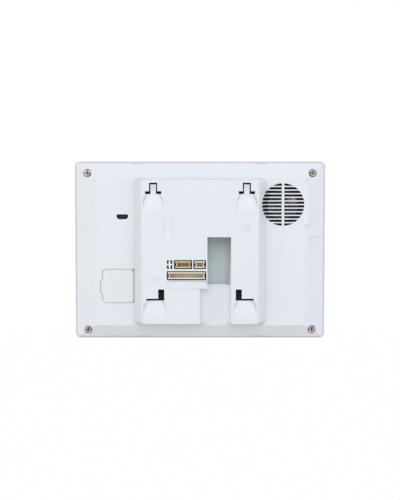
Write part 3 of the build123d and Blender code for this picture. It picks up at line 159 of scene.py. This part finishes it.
# ------------------------------------------------------------------ materials
class Graph:
    """One node material on a Principled shader, with short calls for the nodes it uses."""

    def __init__(self, name, roughness, metallic=0.0):
        self.material = bpy.data.materials.new(name)
        self.material.use_nodes = True
        self.tree = self.material.node_tree
        self.shader = self.tree.nodes["Principled BSDF"]
        self.shader.inputs["Roughness"].default_value = roughness
        self.shader.inputs["Metallic"].default_value = metallic
        self.place = self.node("ShaderNodeTexCoord").outputs["Object"]

    def node(self, kind, inputs=(), **settings):
        """A new node with its settings made and its inputs linked or filled in."""
        made = self.tree.nodes.new(kind)
        for key, value in settings.items():
            setattr(made, key, value)
        for key, value in dict(inputs).items():
            self.put(made.inputs[key], value)
        return made

    def put(self, socket, value):
        """A link when value is another node's output, otherwise a plain value."""
        if isinstance(value, bpy.types.NodeSocket):
            self.tree.links.new(value, socket)
        elif hasattr(value, "__len__") and len(value) == 3 and socket.type == "RGBA":
            socket.default_value = (*value, 1.0)
        else:
            socket.default_value = value

    def noise(self, size, detail=2.0, roughness=0.5, stretch=None):
        """Noise whose features are about size metres across."""
        place = self.place
        if stretch:
            place = self.node("ShaderNodeMapping", {"Vector": place, "Scale": stretch}).outputs[0]
        made = self.node(
            "ShaderNodeTexNoise",
            {"Vector": place, "Scale": 1 / size, "Detail": detail, "Roughness": roughness},
        )
        return made.outputs["Fac"]

    def cells(self, size, output="Distance"):
        """A pattern of cells about size metres across."""
        return self.node("ShaderNodeTexVoronoi", {"Vector": self.place, "Scale": 1 / size}).outputs[output]

    def spread(self, value, low, high, low_in=0.35, high_in=0.65):
        """Stretches a value's range into another. The first is where most of a noise's values lie."""
        made = self.node(
            "ShaderNodeMapRange",
            {"Value": value, "From Min": low_in, "From Max": high_in, "To Min": low, "To Max": high},
        )
        return made.outputs[0]

    def rise(self, value, start, end):
        """0 up to start, 1 from end on."""
        return self.spread(value, 0.0, 1.0, start, end)

    def fall(self, value, start, end):
        """1 up to start, 0 from end on."""
        return self.spread(value, 1.0, 0.0, start, end)

    def math(self, operation, first, second=0.5):
        """A number worked out from one or two others."""
        return self.node("ShaderNodeMath", {0: first, 1: second}, operation=operation).outputs[0]

    def vector(self, operation, first, second=(0, 0, 0)):
        """A vector, or the number that a length or a dot product gives."""
        made = self.node("ShaderNodeVectorMath", {0: first, 1: second}, operation=operation)
        return made.outputs["Value" if operation in ("LENGTH", "DOT_PRODUCT") else "Vector"]

    def toned(self, colour, tone):
        """A colour made darker or lighter by a factor."""
        return self.node("ShaderNodeVectorMath", {0: colour, "Scale": tone}, operation="SCALE").outputs[0]

    def mix(self, factor, first, second):
        """One colour, passing into another as the factor goes from 0 to 1."""
        made = self.node("ShaderNodeMix", {"Factor": factor, 6: first, 7: second}, data_type="RGBA")
        return made.outputs[2]

    def mix_normals(self, factor, first, second):
        """One normal, passing into another as the factor goes from 0 to 1."""
        made = self.node("ShaderNodeMix", {"Factor": factor, 4: first, 5: second}, data_type="VECTOR")
        return self.vector("NORMALIZE", made.outputs[1])

    def open_sky(self, reach, low, darkest, lightest):
        """1 where the openness within reach is lightest or more, falling to low where it is darkest."""
        sky = self.node("ShaderNodeAmbientOcclusion", {"Distance": reach}, samples=8).outputs["AO"]
        return self.spread(sky, low, 1.0, darkest, lightest)

    def shaded(self, reach, low):
        """1 in the open, falling towards low in creases narrower than reach."""
        return self.open_sky(reach, low, 0.25, 1.0)

    def gaps(self, reach, low):
        """1 outside, falling to low only down in gaps narrower than reach."""
        return self.open_sky(reach, low, 0.12, 0.45)

    def edges(self, radius):
        """1 near sharp edges, 0 on flats; the rounded normal comes back too."""
        rounded = self.node("ShaderNodeBevel", {"Radius": radius}, samples=4).outputs[0]
        flat = self.node("ShaderNodeNewGeometry").outputs["Normal"]
        return self.fall(self.vector("DOT_PRODUCT", rounded, flat), 0.85, 0.995), rounded

    def bump(self, height, strength, depth, normal=None):
        """A normal roughened by a height pattern, on top of another normal if one is given."""
        inputs = {"Height": height, "Strength": strength, "Distance": depth}
        if normal is not None:
            inputs["Normal"] = normal
        return self.node("ShaderNodeBump", inputs).outputs[0]

    def finish(self, colour, roughness, normal=None):
        """Connects the shader's inputs and returns the material."""
        self.put(self.shader.inputs["Base Color"], colour)
        self.put(self.shader.inputs["Roughness"], roughness)
        if normal is not None:
            self.put(self.shader.inputs["Normal"], normal)
        return self.material


# The rear cover's raised block, by distance from its middle: its flat ends within BLOCK_EDGE, and the soft
# normals of its flanks set in within FLANK_TOP and end within FLANK_FOOT. The cover's rear faces start within
# REAR_START, along Y.
BLOCK_EDGE = (44 * MM, 45 * MM)
FLANK_TOP = (39 * MM, 42 * MM)
FLANK_FOOT = (50 * MM, 52.5 * MM)
REAR_START = (-17.5 * MM, -17 * MM)
FLANK_SOFTNESS = 3 * MM
BLOCK_GAP = 2 * MM
BLOCK_GAP_SHADE = 0.25
PLATEAU_REACH = 9 * MM
PLATEAU_SHADE = 0.945


def block_shade_and_soft_normal(g, tone, rounded):
    """The rear cover's painted shade, as a darker tone, and its softer normal.

    Painted shade makes the narrow gaps round the block's sockets and slots dark, and the plateau a little
    darker near the block. The block's flanks blend softly into it.
    """
    place = g.node("ShaderNodeSeparateXYZ", {"Vector": g.place})
    across = g.math("ABSOLUTE", place.outputs["X"])
    rear = g.rise(place.outputs["Y"], *REAR_START)
    on_block = g.math("MULTIPLY", rear, g.fall(across, *BLOCK_EDGE))
    on_plateau = g.math("SUBTRACT", rear, on_block)
    # Painted shade from ambient occlusion: dark in narrow gaps on the block, a little darker on the plateau
    # near it.
    gap_shade = g.gaps(BLOCK_GAP, BLOCK_GAP_SHADE)
    plateau_shade = g.shaded(PLATEAU_REACH, PLATEAU_SHADE)
    for region, shade in ((on_block, gap_shade), (on_plateau, plateau_shade)):
        loss = g.math("MULTIPLY", region, g.math("SUBTRACT", 1.0, shade))
        tone = g.math("MULTIPLY", tone, g.math("SUBTRACT", 1.0, loss))
    flank = g.math("MULTIPLY", g.rise(across, *FLANK_TOP), g.fall(across, *FLANK_FOOT))
    soft = g.node("ShaderNodeBevel", {"Radius": FLANK_SOFTNESS}, samples=8).outputs[0]
    return tone, g.mix_normals(g.math("MULTIPLY", flank, rear), rounded, soft)


EDGE_HIGHLIGHT = 0.03
CREASE_REACH = 3.5 * MM
GRAIN_DEPTH = 0.02 * MM


def moulded(
    name, colour, roughness, grain=0.16 * MM, edge_radius=0.25 * MM, crease_shade=(0.92, 0.92, 0.93), block=False
):
    """Injection-moulded plastic: spark-eroded grain, softened edges lightened by a painted highlight, faint
    flow tone and painted shade in creases.
    """
    g = Graph(name, roughness)
    edge, rounded = g.edges(edge_radius)
    flow = g.spread(g.noise(22 * MM, 3, 0.6, stretch=(1, 1, 0.45)), 0.982, 1.0)
    speck = g.spread(g.noise(0.9 * MM, 4, 0.7), 0.988, 1.0)
    tone = g.math("MULTIPLY", flow, speck)
    if block:
        tone, rounded = block_shade_and_soft_normal(g, tone, rounded)
    # Painted highlight: sharp edges a little lighter.
    tone = g.math("ADD", tone, g.math("MULTIPLY", edge, EDGE_HIGHLIGHT))
    # Painted shade: in creases the colour darkens by the given tint.
    colour_in_shade = [part * tint for part, tint in zip(colour, crease_shade)]
    crease_shaded = g.mix(g.shaded(CREASE_REACH, 0.0), colour_in_shade, colour)
    normal = g.bump(g.noise(grain, 3, 0.65), 0.25, GRAIN_DEPTH, rounded)
    rough = g.spread(g.noise(3 * MM, 3), roughness - 0.04, roughness + 0.04)
    rough = g.math("ADD", rough, g.math("MULTIPLY", edge, -0.06))
    return g.finish(g.toned(crease_shaded, tone), rough, normal)


SPANGLE = 7 * MM


def sheet_metal(name, colour, roughness):
    """Galvanised sheet: crystal spangle, upright rolling streaks and dull patches."""
    g = Graph(name, roughness, 0.55)
    grey = g.node("ShaderNodeRGBToBW", {"Color": g.cells(SPANGLE, "Color")}).outputs[0]
    streak = g.noise(4.5 * MM, 2, 0.5, stretch=(1, 1, 0.08))
    tone = g.math("MULTIPLY", g.spread(grey, 0.98, 1.02, 0, 1), g.spread(streak, 0.95, 1.04))
    rough = g.spread(grey, roughness - 0.07, roughness + 0.07, 0, 1)
    _, rounded = g.edges(0.15 * MM)
    return g.finish(g.toned(colour, tone), rough, g.bump(streak, 0.15, 0.02 * MM, rounded))


def turned_metal(
    name, colour, roughness, tarnish_and_shade=(0.32, 0.28, 0.24), reach=0.9 * MM, mottle=0.35, dents=0.0
):
    """Plated metal: fine tool marks, edges painted bright as a highlight, recesses darkened by tarnish and
    painted shade, and dents of the given depth.
    """
    g = Graph(name, roughness, 1.0)
    edge, rounded = g.edges(0.12 * MM)
    cloud = g.noise(1.1 * MM, 4, 0.6)
    dull = [part * (0.9 - mottle / 2) for part in colour]
    edge_highlight = [min(1.0, part * 1.45) for part in colour]
    base = g.mix(g.spread(cloud, 0.0, mottle), colour, dull)
    # Tarnish and painted shade: recesses within reach take the given recess colour.
    base = g.mix(g.shaded(reach, 0.0), tarnish_and_shade, base)
    # Painted highlight: sharp edges made lighter.
    base = g.mix(g.math("MULTIPLY", edge, 0.8), base, edge_highlight)
    rough = g.spread(cloud, roughness - 0.05, roughness + 0.12)
    if dents:
        rounded = g.bump(g.noise(1.3 * MM), 1.0, dents, rounded)
    marks = g.noise(0.12 * MM, 3, 0.6)
    return g.finish(base, rough, g.bump(marks, 0.35, 0.012 * MM, rounded))


TRACKS = {"Scale": 60.0, "Mortar Size": 0.05, "Brick Width": 1.4, "Row Height": 0.28}
VIA_PITCH = 1 / 260


def circuit_board(name, mask, copper):
    """Solder mask over copper: straight tracks and pale vias."""
    g = Graph(name, 0.32)
    upright = g.node("ShaderNodeMapping", {"Vector": g.place, "Rotation": (math.pi / 2, 0, 0)}).outputs[0]
    tracks = g.node("ShaderNodeTexBrick", {"Vector": upright, **TRACKS}).outputs["Fac"]
    vias = g.fall(g.cells(VIA_PITCH), 0.10, 0.16)
    base = g.mix(g.math("MULTIPLY", tracks, 0.6), mask, copper)
    base = g.mix(g.math("MULTIPLY", vias, 0.5), base, (0.5, 0.45, 0.3))
    relief = g.math("ADD", tracks, vias)
    return g.finish(base, g.spread(g.noise(4 * MM), 0.26, 0.4), g.bump(relief, 0.4, 0.03 * MM))


def dark_film(name, colour, roughness):
    """Thin black film or foam: faint cells and dust."""
    g = Graph(name, roughness)
    cells = g.cells(0.35 * MM)
    dust = g.rise(g.noise(0.5 * MM, 5, 0.8), 0.68, 0.8)
    base = g.mix(g.math("MULTIPLY", dust, 0.12), colour, (0.4, 0.4, 0.4))
    g.shader.inputs["Specular IOR Level"].default_value = 0.25
    rough = g.spread(cells, roughness - 0.06, roughness + 0.06, 0, 1)
    return g.finish(base, rough, g.bump(cells, 0.3, 0.02 * MM))


CONE_RIB_PITCH = 0.9 * MM
# A painted reflection: a pale patch on the cone, measured from the cone's middle.
REFLECTION_PLACE = (-7.6 * MM, 0, 3.2 * MM)
REFLECTION_STRETCH = (0.8, 0, 1.3)
REFLECTION_REACH = (0.8 * MM, 4.2 * MM)


def formed_cone(name):
    """Pressed speaker film: glossy, with concentric ribs, a little dust and a painted reflection as a pale
    patch.
    """
    g = Graph(name, 0.22)
    low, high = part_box("speaker_cone")
    from_middle = g.vector("SUBTRACT", g.place, tuple((low + high) / 2))
    radius = g.vector("LENGTH", g.vector("MULTIPLY", from_middle, (1, 0, 1)))
    ribs = g.math("SINE", g.math("MULTIPLY", radius, 2 * math.pi / CONE_RIB_PITCH))
    dust = g.spread(g.noise(0.4 * MM, 5, 0.8), 0.0, 0.5, 0.62, 0.8)
    base = g.mix(dust, (0.012, 0.012, 0.014), (0.16, 0.16, 0.17))
    # Painted reflection: a pale, broken-up patch on the cone.
    from_reflection = g.vector("MULTIPLY", g.vector("SUBTRACT", from_middle, REFLECTION_PLACE), REFLECTION_STRETCH)
    in_reflection = g.fall(g.vector("LENGTH", from_reflection), *REFLECTION_REACH)
    painted_reflection = g.math("MULTIPLY", in_reflection, g.spread(g.noise(1.6 * MM, 4, 0.7), 0.1, 1.0))
    base = g.mix(painted_reflection, base, (0.75, 0.75, 0.80))
    g.shader.inputs["Coat Weight"].default_value = 0.6
    return g.finish(base, g.spread(g.noise(1.5 * MM, 3), 0.16, 0.3), g.bump(ribs, 0.5, 0.05 * MM))


ACTIVE_HALF_WIDTH = 77.05 * MM
ACTIVE_HALF_HEIGHT = 42.95 * MM


def screen_front(name):
    """Flat black glass: a printed border round a slightly paler display that is off, and faint haze."""
    g = Graph(name, 0.06)
    low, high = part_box("lcd_cell")
    place = g.node("ShaderNodeSeparateXYZ", {"Vector": g.place})
    across = g.math("ABSOLUTE", g.math("SUBTRACT", place.outputs["X"], (low.x + high.x) / 2))
    up = g.math("ABSOLUTE", place.outputs["Z"])
    in_width = g.math("LESS_THAN", across, ACTIVE_HALF_WIDTH)
    in_height = g.math("LESS_THAN", up, ACTIVE_HALF_HEIGHT)
    base = g.mix(g.math("MULTIPLY", in_width, in_height), (0.0045, 0.0045, 0.005), (0.017, 0.018, 0.021))
    g.shader.inputs["Coat Weight"].default_value = 0.8
    g.shader.inputs["Coat Roughness"].default_value = 0.03
    return g.finish(base, g.spread(g.noise(16 * MM, 5, 0.65), 0.04, 0.13, 0.45, 0.75))


def clear_plastic(name, colour, transmission=0.7):
    """Clear acrylic or diffuser with faint flow lines."""
    g = Graph(name, 0.18)
    g.shader.inputs["Transmission Weight"].default_value = transmission
    g.shader.inputs["IOR"].default_value = 1.49
    swirl = g.noise(1.2 * MM, 3)
    base = g.mix(g.spread(swirl, 0, 0.15), colour, (1, 1, 1))
    return g.finish(base, g.spread(swirl, 0.12, 0.25), g.bump(swirl, 0.1, 0.02 * MM))


CONDUCTOR_PITCH = 0.5 * MM


def ribbed_cable(name, colour):
    """Flat flexible cable: parallel tinned conductors under a matt film."""
    g = Graph(name, 0.42)
    place = g.node("ShaderNodeSeparateXYZ", {"Vector": g.place})
    wave = g.math("SINE", g.math("MULTIPLY", place.outputs["X"], 2 * math.pi / CONDUCTOR_PITCH))
    base = g.mix(g.spread(wave, 0.0, 0.6, -0.2, 0.6), colour, (0.62, 0.62, 0.6))
    return g.finish(base, g.spread(g.noise(2 * MM), 0.36, 0.5), g.bump(wave, 0.3, 0.03 * MM))


def header_nylon(name, colour, crease_shade):
    """Glossy nylon of a wiring header, with fine grain, sharp edges and warm painted shade in its creases."""
    return moulded(name, colour, 0.36, grain=0.1 * MM, edge_radius=0.12 * MM, crease_shade=crease_shade)


def screw_metal(name):
    """Worn nickel plate: pale high spots, small dents that glint and a cross recess painted nearly black as
    shade.
    """
    return turned_metal(
        name,
        (0.98, 0.86, 0.75),
        0.17,
        # Painted shade: the cross recess darkens to nearly black.
        tarnish_and_shade=(0.010, 0.007, 0.005),
        reach=1.9 * MM,
        mottle=1.08,
        dents=1.6 * MM,
    )


# One row for each material slot of the record: what makes it, its colours and its other values.
MATERIALS = {
    # Painted shade in creases, and with block=True in the block's gaps and on the plateau near the raised
    # block.
    "white_abs": moulded("white_abs", (0.800, 0.812, 0.844), 0.46, crease_shade=(0.95, 0.95, 0.955), block=True),
    "door_abs": moulded("door_abs", (0.800, 0.808, 0.818), 0.50),
    "screen_glass": screen_front("screen_glass"),
    "black_film": dark_film("black_film", (0.012, 0.012, 0.013), 0.75),
    "lcd": dark_film("lcd", (0.02, 0.022, 0.027), 0.25),
    "backlight": clear_plastic("backlight", (0.9, 0.9, 0.88), 0.2),
    "zinc_steel": sheet_metal("zinc_steel", (0.61, 0.675, 0.665), 0.42),
    "board_green": circuit_board("board_green", (0.006, 0.022, 0.014), (0.02, 0.07, 0.04)),
    "chip_black": moulded("chip_black", (0.018, 0.018, 0.02), 0.55, grain=0.08 * MM),
    "can_metal": turned_metal("can_metal", (0.70, 0.70, 0.72), 0.32),
    "cell_steel": turned_metal("cell_steel", (0.66, 0.66, 0.65), 0.28),
    # Their third colour is the painted shade tint in the headers' creases.
    "ivory_nylon": header_nylon("ivory_nylon", (0.90, 0.85, 0.70), (0.78, 0.68, 0.52)),
    "tan_nylon": header_nylon("tan_nylon", (0.82, 0.66, 0.40), (0.66, 0.52, 0.38)),
    # The pins' and the port's recess colours are partly painted shade; the port's is nearly black.
    "tinned_pin": turned_metal("tinned_pin", (0.80, 0.66, 0.40), 0.25, (0.36, 0.26, 0.13), 0.4 * MM),
    "port_steel": turned_metal("port_steel", (0.11, 0.115, 0.12), 0.3, (0.012, 0.012, 0.013)),
    "black_plastic": moulded("black_plastic", (0.014, 0.014, 0.015), 0.45, grain=0.1 * MM),
    "nickel_screw": screw_metal("nickel_screw"),
    "ribbon": ribbed_cable("ribbon", (0.80, 0.78, 0.70)),
    "rubber_black": dark_film("rubber_black", (0.015, 0.015, 0.016), 0.8),
    "cone_film": formed_cone("cone_film"),
    "magnet": turned_metal("magnet", (0.22, 0.22, 0.23), 0.45),
    "key_grey": moulded("key_grey", (0.66, 0.68, 0.71), 0.42),
    "light_clear": clear_plastic("light_clear", (0.85, 0.9, 0.93)),
    "led": clear_plastic("led", (0.9, 0.86, 0.55), 0.3),
    "gold_contact": turned_metal("gold_contact", (0.86, 0.62, 0.26), 0.2),
    "lead_wire": moulded("lead_wire", (0.35, 0.03, 0.03), 0.4, grain=0.1 * MM),
}
for row in frame["record"]["subparts"]:
    node = NODES[row["node"]]
    node.data.materials.clear()
    node.data.materials.append(MATERIALS[row["material_slot"]])


# ------------------------------------------------------------------ thin pieces: symbols, and dark sheets of painted shade in the seam and round the headers
def thin_piece(name, outlines, back, front, tone):
    """Flat shapes between two values of Y, as one piece that rides on the monitor.

    Each outline is a list of rings of (x, z) points: an outer ring, and for a hole an inner one of as many.
    """
    solid = bmesh.new()
    for rings in outlines:
        levels = [[[solid.verts.new((x, y, z)) for x, z in ring] for ring in rings] for y in (back, front)]
        for near, far in zip(*levels):
            for index in range(len(near)):
                solid.faces.new((near[index - 1], near[index], far[index], far[index - 1]))
        for level in levels:
            if len(level) == 1:
                solid.faces.new(level[0])
                continue
            outer, inner = level
            for index in range(len(outer)):
                solid.faces.new((outer[index - 1], outer[index], inner[index], inner[index - 1]))
    bmesh.ops.recalc_face_normals(solid, faces=solid.faces)
    mesh = bpy.data.meshes.new(name)
    solid.to_mesh(mesh)
    solid.free()
    mesh.materials.append(tone)
    piece = bpy.data.objects.new(name, mesh)
    bpy.context.scene.collection.objects.link(piece)
    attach(piece, "monitor")


def arc(centre, radius, start, end, steps=20):
    """Points along an arc, angles in degrees."""
    points = []
    for step in range(steps + 1):
        angle = math.radians(start + (end - start) * step / steps)
        points.append((centre[0] + radius * math.cos(angle), centre[1] + radius * math.sin(angle)))
    return points


CORNER_STEPS = 6


def rounded_box(centre, size, radius):
    """A rectangle with rounded corners, as points, from its upper right corner round by the left."""
    half_x, half_z = size[0] / 2 - radius, size[1] / 2 - radius
    points = []
    for turn, (side_x, side_z) in enumerate(((1, 1), (-1, 1), (-1, -1), (1, -1))):
        corner = (centre[0] + side_x * half_x, centre[1] + side_z * half_z)
        points += arc(corner, radius, 90 * turn, 90 * turn + 90, CORNER_STEPS)
    return points


def padlock():
    """A padlock whose shackle is open on the left."""
    body = rounded_box((0, -0.7), (2.8, 2.2), 0.35)
    hinge = (0, 0.6)
    shackle = arc(hinge, 1.0, 0, 168) + arc(hinge, 0.6, 168, 0)
    first_corner = CORNER_STEPS + 1
    return [body[:first_corner] + [(1.0, 0.4)] + shackle + [(0.6, 0.4)] + body[first_corner:]]


def video_camera():
    """A camera's body and its lens hood."""
    return [rounded_box((-0.5, 0), (2.7, 2.3), 0.4), [(1.1, -0.45), (2.1, -1.0), (2.1, 1.0), (1.1, 0.45)]]


def handset():
    """A telephone handset: a curved bar that is thicker at both ends."""
    centre = (0, 1.75)
    underside = arc(centre, 3.0, 217, 323)
    ear = arc(centre, 1.85, 323, 306, 5)
    grip = arc(centre, 2.35, 306, 234)
    mouth = arc(centre, 1.85, 234, 217, 5)
    return [underside + ear + grip + mouth]


def three_bars():
    """The usual sign for a menu."""
    return [rounded_box((0, z), (3.2, 0.42), 0.2) for z in (-1.05, 0, 1.05)]


def bell():
    """A bell with its clapper below."""
    skirt = [(-1.6, -0.9), (1.6, -0.9), (1.15, -0.3)]
    crown = arc((0, 0.4), 1.05, 0, 180, 16)
    return [skirt + crown + [(-1.15, -0.3)], arc((0, -1.42), 0.42, 0, 345, 23)]


# The symbols' rings are in millimetres from each symbol's middle.
SYMBOLS = {
    "unlock": padlock(),
    "monitor": video_camera(),
    "talk": handset(),
    "menu": three_bars(),
    "alarm": bell(),
}
SYMBOL_RISE = 6.9 * MM
PRINT_THICKNESS = 0.03 * MM
PRINT_SINK = 0.002 * MM
symbol_print = moulded("symbol_print", (0.10, 0.105, 0.115), 0.5, grain=0.08 * MM)
print_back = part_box("front_bezel")[0].y - PRINT_SINK
for symbol, rings in SYMBOLS.items():
    low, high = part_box(f"key_{symbol}")
    x_mid, z_mid = (low.x + high.x) / 2, (low.z + high.z) / 2 + SYMBOL_RISE
    placed = [[[(x_mid + x * MM, z_mid + z * MM) for x, z in ring]] for ring in rings]
    print_front = print_back - PRINT_THICKNESS
    thin_piece(f"symbol_{symbol}", placed, print_back, print_front, symbol_print)

# A dark ring round the rear cover's rim, on the bezel's rear edge, is painted shade: it stands in for the
# shadow in the seam.
SEAM_GAP = 0.03 * MM
SEAM_WIDTH = 0.28 * MM
SEAM_HEIGHT = 0.2 * MM
SEAM_LIFT = 0.01 * MM
RIM_RADIUS = 2.8 * MM
cover_low, cover_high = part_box("rear_cover")
rim_middle = ((cover_low.x + cover_high.x) / 2, (cover_low.z + cover_high.z) / 2)
rim_size = (cover_high.x - cover_low.x, cover_high.z - cover_low.z)
seam_rings = []
for grow in (SEAM_GAP + SEAM_WIDTH, SEAM_GAP):
    grown_size = (rim_size[0] + 2 * grow, rim_size[1] + 2 * grow)
    seam_rings.append(rounded_box(rim_middle, grown_size, RIM_RADIUS + grow))
seam_shade_film = dark_film("seam_shade_film", (0.45, 0.45, 0.46), 0.8)
seam_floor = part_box("front_bezel")[1].y + SEAM_LIFT
thin_piece("painted_seam_shadow", [seam_rings], seam_floor, seam_floor + SEAM_HEIGHT, seam_shade_film)

# A black sheet fills the gap between each wiring header, whose ends have a vee, and its opening in the cover:
# painted shade that stands in for the dark gap.
ENTRY_GAP = 0.85 * MM
SHADE_FILM_SLACK = 0.05 * MM
SHADE_FILM_BACK = -0.9 * MM
SHADE_FILM_FRONT = -1.7 * MM
SHADE_FILM_OUTER_CORNER = 0.3 * MM
SHADE_FILM_INNER_CORNER = 0.02 * MM
VEE_DEPTH = 1.05 * MM
VEE_HALF_HEIGHT = 1.8 * MM


def shade_film_ring(middle, half_x, half_z, end_x, corner):
    """A box's points, with its corners cut off. Its ends come in to end_x from the middle, as a vee."""
    right = [(end_x, 0), (half_x, VEE_HALF_HEIGHT), (half_x, half_z - corner), (half_x - corner, half_z)]
    upper = right + [(-x, z) for x, z in reversed(right)]
    lower = [(x, -z) for x, z in reversed(upper[1:-1])]
    return [(middle.x + x, middle.z + z) for x, z in upper + lower]


entry_shade_film = dark_film("entry_shade_film", (0.010, 0.010, 0.010), 0.9)
for header in ("thirteen_way", "five_way", "three_way"):
    low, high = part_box(f"header_{header}")
    middle, half = (low + high) / 2, (high - low) / 2
    outer_x, outer_z = (side + ENTRY_GAP - SHADE_FILM_SLACK for side in (half.x, half.z))
    inner_x, inner_z = (side + SHADE_FILM_SLACK for side in (half.x, half.z))
    inner_vee = inner_x - VEE_DEPTH + SHADE_FILM_SLACK
    shade_film_rings = [
        shade_film_ring(middle, outer_x, outer_z, outer_x, SHADE_FILM_OUTER_CORNER),
        shade_film_ring(middle, inner_x, inner_z, inner_vee, SHADE_FILM_INNER_CORNER),
    ]
    thin_piece(f"entry_shade_film_{header}", [shade_film_rings], SHADE_FILM_BACK, SHADE_FILM_FRONT, entry_shade_film)
